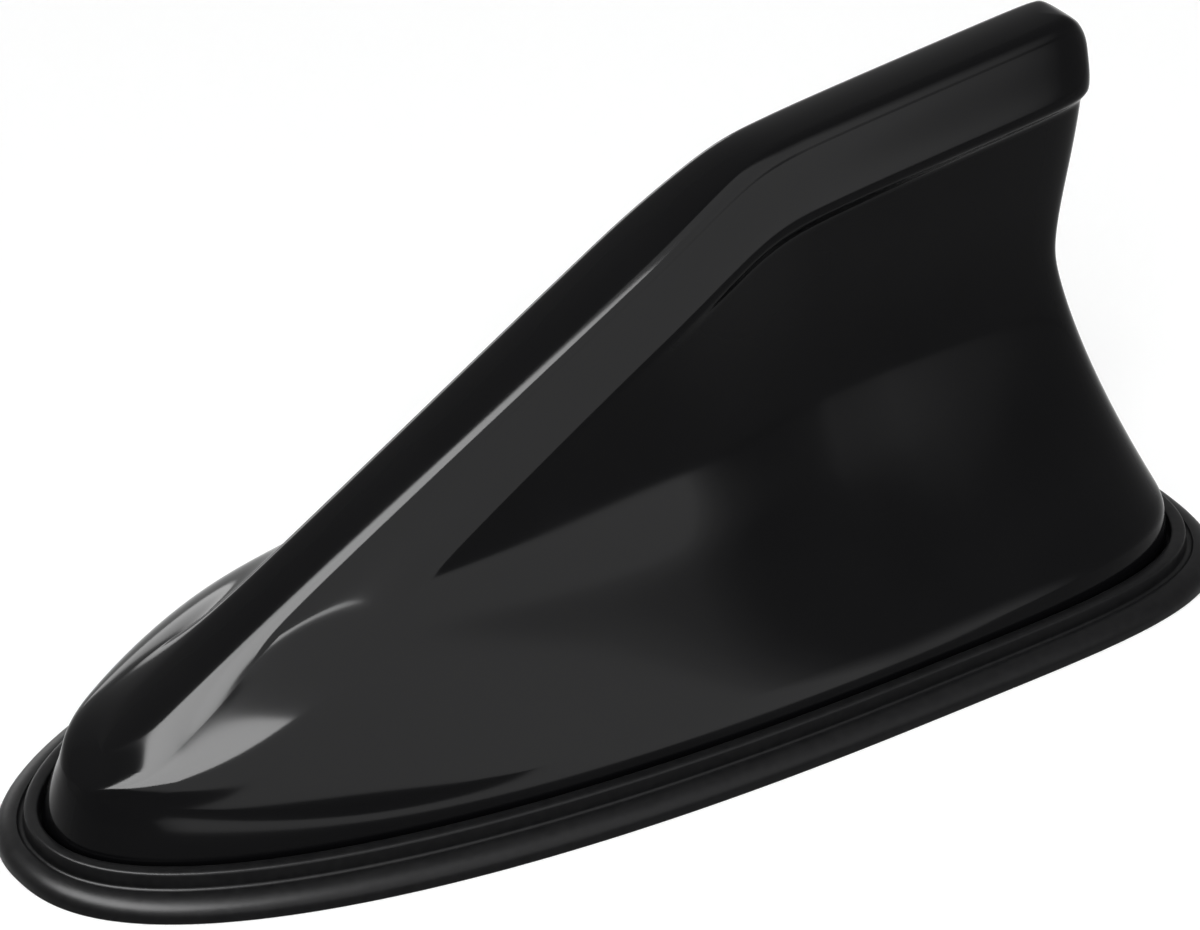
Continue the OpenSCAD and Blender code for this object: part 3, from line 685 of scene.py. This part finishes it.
@dataclass(frozen=True)
class Finish:
    """A finish: its two colours, its gloss and the grain that breaks it up.

    Attributes:
        name: Name of the material slot.
        colour: Base colour where the grain is low, in linear light.
        second: Base colour where the grain is high.
        rough: Roughness at the two ends of the grain.
        grain: Kind of grain.
        scale: Scale of the grain's texture.
        bump: Strength of the relief, or 0 for none.
        metallic: 1 for bare metal.
        specular: Level of the reflection.
    """

    name: str
    colour: tuple[float, float, float]
    second: tuple[float, float, float]
    rough: tuple[float, float]
    grain: Grain
    scale: float
    bump: float = 0.0
    metallic: float = 0.0
    specular: float = 0.5

    def pattern(self, tree: bpy.types.NodeTree) -> bpy.types.NodeSocket:
        """Adds the grain's texture.

        Args:
            tree: The material's node tree.

        Returns:
            The socket that gives the grain, from 0 to 1.
        """
        where = tree.nodes.new("ShaderNodeTexCoord")
        turned = tree.nodes.new("ShaderNodeMapping")
        tree.links.new(where.outputs["Object"], turned.inputs["Vector"])
        if self.grain is Grain.FOAM:
            cells = tree.nodes.new("ShaderNodeTexVoronoi")
            cells.inputs["Scale"].default_value = self.scale
            tree.links.new(turned.outputs["Vector"], cells.inputs["Vector"])
            return cells.outputs["Distance"]
        if self.grain in (Grain.WOVEN, Grain.WOUND):
            waves = tree.nodes.new("ShaderNodeTexWave")
            waves.bands_direction = "DIAGONAL" if self.grain is Grain.WOVEN else "Z"
            waves.inputs["Scale"].default_value = self.scale
            waves.inputs["Distortion"].default_value = WAVE_DISTORTION
            tree.links.new(turned.outputs["Vector"], waves.inputs["Vector"])
            return waves.outputs["Fac"]
        if self.grain is Grain.BRUSHED:
            turned.inputs["Scale"].default_value = BRUSH_STRETCH
        noise = tree.nodes.new("ShaderNodeTexNoise")
        noise.inputs["Scale"].default_value = self.scale
        detail = SMOOTH_DETAIL if self.grain is Grain.POLISHED else ROUGH_DETAIL
        noise.inputs["Detail"].default_value = detail
        tree.links.new(turned.outputs["Vector"], noise.inputs["Vector"])
        return noise.outputs["Fac"]

    @lru_cache
    def material(self) -> bpy.types.Material:
        """Builds the material, once for each finish.

        Returns:
            The node material.
        """
        made = bpy.data.materials.new(f"{self.name}_finish")
        made.use_nodes = True
        tree = made.node_tree
        shader = tree.nodes["Principled BSDF"]
        shader.inputs["Metallic"].default_value = self.metallic
        shader.inputs["Specular IOR Level"].default_value = self.specular
        grain = self.pattern(tree)
        tint = tree.nodes.new("ShaderNodeValToRGB")
        for stop, at, colour in zip(tint.color_ramp.elements, TINT_RANGE, (self.colour, self.second)):
            stop.position = at
            stop.color = (*colour, 1.0)
        tree.links.new(grain, tint.inputs["Fac"])
        tree.links.new(tint.outputs["Color"], shader.inputs["Base Color"])
        gloss = tree.nodes.new("ShaderNodeMapRange")
        gloss.inputs["To Min"].default_value = self.rough[0]
        gloss.inputs["To Max"].default_value = self.rough[1]
        tree.links.new(grain, gloss.inputs["Value"])
        tree.links.new(gloss.outputs["Result"], shader.inputs["Roughness"])
        if self.bump:
            relief = tree.nodes.new("ShaderNodeBump")
            relief.inputs["Strength"].default_value = self.bump
            relief.inputs["Distance"].default_value = BUMP_DEPTH
            tree.links.new(grain, relief.inputs["Height"])
            tree.links.new(relief.outputs["Normal"], shader.inputs["Normal"])
        return made


GLOSS_BLACK = Finish(
    "gloss_black", (0.0022, 0.0022, 0.0026), (0.0030, 0.0030, 0.0034), (0.08, 0.13), Grain.POLISHED, 60.0,
    specular=0.05,
)
GASKET_RUBBER = Finish(
    "gasket_rubber", (0.003, 0.003, 0.0033), (0.005, 0.005, 0.0053), (0.32, 0.42), Grain.MOULDED, 900.0,
    bump=0.2, specular=0.05,
)
INNER_FINISHES = {
    made.name: made
    for made in (
        Finish(
            "plate_plastic", (0.012, 0.012, 0.013), (0.018, 0.018, 0.019),
            (0.45, 0.6), Grain.MOULDED, 700.0, bump=0.15,
        ),
        Finish(
            "foam_tape", (0.025, 0.025, 0.027), (0.045, 0.045, 0.047),
            (0.85, 0.95), Grain.FOAM, 1400.0, bump=0.5,
        ),
        Finish(
            "zinc_steel", (0.55, 0.56, 0.57), (0.66, 0.66, 0.65),
            (0.28, 0.4), Grain.BRUSHED, 900.0, metallic=1.0,
        ),
        Finish(
            "seal_rubber", (0.010, 0.010, 0.010), (0.016, 0.016, 0.016),
            (0.6, 0.7), Grain.MOULDED, 900.0, bump=0.2,
        ),
        Finish(
            "grommet_rubber", (0.012, 0.012, 0.013), (0.020, 0.020, 0.021),
            (0.5, 0.65), Grain.MOULDED, 900.0, bump=0.2,
        ),
        Finish(
            "tinned_steel", (0.60, 0.61, 0.62), (0.70, 0.70, 0.70),
            (0.25, 0.38), Grain.BRUSHED, 700.0, metallic=1.0,
        ),
        Finish(
            "gold_brass", (0.72, 0.52, 0.20), (0.80, 0.60, 0.28),
            (0.2, 0.3), Grain.BRUSHED, 900.0, metallic=1.0,
        ),
        Finish(
            "board_green", (0.012, 0.070, 0.028), (0.018, 0.095, 0.040),
            (0.25, 0.4), Grain.WOVEN, 500.0, bump=0.1,
        ),
        Finish(
            "chip_black", (0.010, 0.010, 0.011), (0.017, 0.017, 0.018),
            (0.4, 0.55), Grain.MOULDED, 1500.0, bump=0.2,
        ),
        Finish(
            "can_aluminium", (0.55, 0.56, 0.58), (0.68, 0.68, 0.69),
            (0.22, 0.34), Grain.BRUSHED, 900.0, metallic=1.0,
        ),
        Finish(
            "ferrite_grey", (0.040, 0.040, 0.046), (0.070, 0.070, 0.076),
            (0.5, 0.65), Grain.MOULDED, 1500.0, bump=0.3,
        ),
        Finish(
            "ceramic_tan", (0.40, 0.26, 0.12), (0.50, 0.34, 0.17),
            (0.35, 0.5), Grain.MOULDED, 1800.0, bump=0.1,
        ),
        Finish(
            "header_plastic", (0.72, 0.70, 0.60), (0.80, 0.78, 0.69),
            (0.35, 0.5), Grain.MOULDED, 700.0, bump=0.1,
        ),
        Finish(
            "holder_plastic", (0.66, 0.62, 0.53), (0.74, 0.70, 0.61),
            (0.4, 0.55), Grain.MOULDED, 700.0, bump=0.1,
        ),
        Finish(
            "copper_wire", (0.62, 0.24, 0.10), (0.75, 0.33, 0.15),
            (0.18, 0.3), Grain.WOUND, 900.0, metallic=1.0,
        ),
    )
}


@dataclass
class InnerParts:
    """The parts under the cover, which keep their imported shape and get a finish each."""

    finishes: dict[str, Finish] = field(default_factory=lambda: dict(INNER_FINISHES))

    def dress(self, skipped: tuple[str, ...]) -> list[str]:
        """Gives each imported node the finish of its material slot.

        Args:
            skipped: Nodes that other pieces stand for.

        Returns:
            The names of the dressed nodes.
        """
        done = []
        for part in frame["record"]["subparts"]:
            name = part["node"]
            if name in skipped:
                continue
            for slot in frame["nodes"][name].material_slots:
                slot.material = self.finishes[part["material_slot"]].material()
            done.append(name)
        return done


class Role(Enum):
    """What a softbox does: it lights matt surfaces, or it shows in glossy ones."""

    FILL = "fill"
    SHEEN = "sheen"


@dataclass(frozen=True)
class Lamp:
    """A softbox.

    Attributes:
        name: Name of the lamp.
        place: Its middle.
        size: Its width and height.
        radiance: Brightness of its face, where 1 is white.
        role: What it does.
        turn: How far it is rolled about its own axis, in degrees.
    """

    name: str
    place: tuple[float, float, float]
    size: tuple[float, float]
    radiance: float
    role: Role
    turn: float = 0.0


@dataclass
class Studio:
    """Camera, lamps, white ground and white surroundings.

    Attributes:
        azimuth: Direction of the camera seen from above, in degrees from -Y towards +X.
        elevation: Its angle above the ground, in degrees.
        distance: Its distance from the target.
        target: Point that it looks at.
        focal_px: Focal length in the photograph's pixels.
        centre_px: Where the camera's axis meets the photograph.
        floor_side: Side of the square floor.
        floor_colour: Grey of the floor, in linear light.
        floor_glow: Glow of the floor where it is seen.
        world_light: Level of the surroundings where they only light.
        lamps: The softboxes.
    """

    azimuth: float = -35.21
    elevation: float = 31.83
    distance: float = 0.8491
    target: tuple[float, float, float] = (0.0, 0.0, 0.030)
    focal_px: float = 6894.5
    centre_px: tuple[float, float] = (587.3, 459.6)
    floor_side: float = 8.0
    floor_colour: float = 0.5
    floor_glow: float = 0.58
    world_light: float = 0.4
    lamps: tuple[Lamp, ...] = (
        Lamp("soft_key", (-0.36, -0.60, 0.99), (0.7, 0.7), 7.0, Role.FILL),
        Lamp("nose_box", (-0.573, -0.10, 0.842), (1.25, 0.57), 62.0, Role.SHEEN),
        # A tall wall of light in four overlapping steps, so that its edge shows soft
        Lamp("wall_step_1", (-0.20, -0.99, 0.846), (2.18, 4.83), 0.7, Role.SHEEN, turn=29.0),
        Lamp("wall_step_2", (-0.253, -1.007, 0.834), (2.21, 4.89), 1.2, Role.SHEEN, turn=30.3),
        Lamp("wall_step_3", (-0.307, -1.023, 0.822), (2.24, 4.95), 1.6, Role.SHEEN, turn=31.7),
        Lamp("wall_step_4", (-0.36, -1.04, 0.81), (2.27, 5.01), 2.1, Role.SHEEN, turn=33.0),
        Lamp("back_box", (0.20, 0.97, 0.13), (0.40, 0.22), 5.0, Role.SHEEN),
    )

    def axes(self) -> tuple[Vector, Vector, Vector]:
        """Returns the camera's right, up and backward directions."""
        a = math.radians(self.azimuth)
        e = math.radians(self.elevation)
        back = Vector((math.sin(a) * math.cos(e), -math.cos(a) * math.cos(e), math.sin(e)))
        right = Vector((math.cos(a), math.sin(a), 0.0))
        return right, back.cross(right), back

    def add_camera(self) -> None:
        """Places the camera at the photograph's angle."""
        right, up, back = self.axes()
        data = bpy.data.cameras.new("camera")
        data.sensor_width = SENSOR_W
        data.lens = self.focal_px / IMAGE_W * SENSOR_W
        data.shift_x = (IMAGE_W / 2 - self.centre_px[0]) / IMAGE_W
        data.shift_y = (self.centre_px[1] - IMAGE_H / 2) / IMAGE_W
        data.clip_start = 0.05
        data.clip_end = 30.0
        camera = bpy.data.objects.new("camera", data)
        bpy.context.scene.collection.objects.link(camera)
        spot = Vector(self.target) + back * self.distance
        turn = Matrix((right, up, back)).transposed().to_4x4()
        camera.matrix_world = Matrix.Translation(spot) @ turn
        bpy.context.scene.camera = camera

    def add_lamp(self, lamp: Lamp) -> None:
        """Adds a softbox that faces the aerial.

        Args:
            lamp: Its place, size and brightness.
        """
        data = bpy.data.lights.new(lamp.name, "AREA")
        data.shape = "RECTANGLE"
        data.size, data.size_y = lamp.size
        data.energy = lamp.radiance * math.pi * lamp.size[0] * lamp.size[1]
        box = bpy.data.objects.new(lamp.name, data)
        bpy.context.scene.collection.objects.link(box)
        spot = Vector(lamp.place)
        ray = (spot - Vector(self.target)).normalized()
        roll = Matrix.Rotation(math.radians(lamp.turn), 4, "Z")
        facing = ray.to_track_quat("Z", "Y").to_matrix().to_4x4()
        box.matrix_world = Matrix.Translation(spot) @ facing @ roll
        box.visible_diffuse = lamp.role is not Role.SHEEN
        box.visible_glossy = lamp.role is not Role.FILL

    def seen_directly(self, tree: bpy.types.NodeTree) -> bpy.types.NodeSocket:
        """Returns a socket that is 1 for camera, glossy and transmission rays, and otherwise 0."""
        path = tree.nodes.new("ShaderNodeLightPath")
        either = tree.nodes.new("ShaderNodeMath")
        either.operation = "MAXIMUM"
        tree.links.new(path.outputs["Is Camera Ray"], either.inputs[0])
        tree.links.new(path.outputs["Is Glossy Ray"], either.inputs[1])
        every = tree.nodes.new("ShaderNodeMath")
        every.operation = "MAXIMUM"
        tree.links.new(either.outputs[0], every.inputs[0])
        tree.links.new(path.outputs["Is Transmission Ray"], every.inputs[1])
        return every.outputs[0]

    def add_floor(self) -> None:
        """Lays a pale floor that glows to white where it is seen, and still takes the shadow."""
        half = self.floor_side / 2
        corners = np.array([[-half, -half, 0], [half, -half, 0], [half, half, 0], [-half, half, 0]])
        floor = smooth_mesh("floor", corners, np.array([[0, 1, 2, 3]]))
        made = bpy.data.materials.new("pale_floor")
        made.use_nodes = True
        tree = made.node_tree
        tree.nodes.clear()
        end = tree.nodes.new("ShaderNodeOutputMaterial")
        matt = tree.nodes.new("ShaderNodeBsdfDiffuse")
        matt.inputs["Color"].default_value = (self.floor_colour, self.floor_colour, self.floor_colour, 1)
        glow = tree.nodes.new("ShaderNodeEmission")
        level = tree.nodes.new("ShaderNodeMath")
        level.operation = "MULTIPLY"
        level.inputs[1].default_value = self.floor_glow
        tree.links.new(self.seen_directly(tree), level.inputs[0])
        tree.links.new(level.outputs[0], glow.inputs["Strength"])
        both = tree.nodes.new("ShaderNodeAddShader")
        tree.links.new(matt.outputs[0], both.inputs[0])
        tree.links.new(glow.outputs[0], both.inputs[1])
        clear = tree.nodes.new("ShaderNodeBsdfTransparent")
        side = tree.nodes.new("ShaderNodeNewGeometry")
        choice = tree.nodes.new("ShaderNodeMixShader")
        tree.links.new(side.outputs["Backfacing"], choice.inputs[0])
        tree.links.new(both.outputs[0], choice.inputs[1])
        tree.links.new(clear.outputs[0], choice.inputs[2])
        tree.links.new(choice.outputs[0], end.inputs["Surface"])
        floor.data.materials.append(made)

    def add_world(self) -> None:
        """Surrounds the aerial with white, at a lower level where it only lights."""
        world = bpy.data.worlds.new("studio")
        world.use_nodes = True
        tree = world.node_tree
        background = tree.nodes["Background"]
        background.inputs["Color"].default_value = (1, 1, 1, 1)
        level = tree.nodes.new("ShaderNodeMapRange")
        level.inputs["To Min"].default_value = self.world_light
        level.inputs["To Max"].default_value = 1.0
        tree.links.new(self.seen_directly(tree), level.inputs["Value"])
        tree.links.new(level.outputs["Result"], background.inputs["Strength"])
        bpy.context.scene.world = world

    def build(self) -> None:
        """Sets up the whole studio."""
        self.add_camera()
        self.add_world()
        self.add_floor()
        for lamp in self.lamps:
            self.add_lamp(lamp)
        bpy.context.scene.view_settings.view_transform = "Standard"


def place(piece: bpy.types.Object, finish: Finish, *nodes: str) -> None:
    """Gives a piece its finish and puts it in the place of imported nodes.

    Args:
        piece: The finished mesh.
        finish: Its finish.
        nodes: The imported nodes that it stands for.
    """
    piece.data.materials.append(finish.material())
    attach(piece, "root")
    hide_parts(*nodes)
    log.info("%s: %d faces", piece.name, len(piece.data.polygons))


def main() -> None:
    """Builds the pieces in order and reports each."""
    logging.basicConfig(level=logging.INFO, format="%(name)s: %(message)s")
    low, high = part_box("base_gasket")
    plan = Plan(length=high[0] - low[0], width=high[1] - low[1])
    ledge_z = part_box("fin_cover")[0][2]
    Studio().build()
    head_drop = FinCover.spine_end * math.tan(math.radians(FinCover.head_angle))
    cover = FinCover(plan, height=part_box("fin_cover")[1][2] + head_drop, ledge_z=ledge_z)
    place(cover.build(), GLOSS_BLACK, "fin_cover")
    gasket = BaseGasket(plan, ledge_z=ledge_z)
    place(gasket.build(), GASKET_RUBBER, "base_gasket")
    for name in InnerParts().dress(("fin_cover", "base_gasket")):
        log.info("%s: dressed", name)


if __name__ == "__main__":
    main()
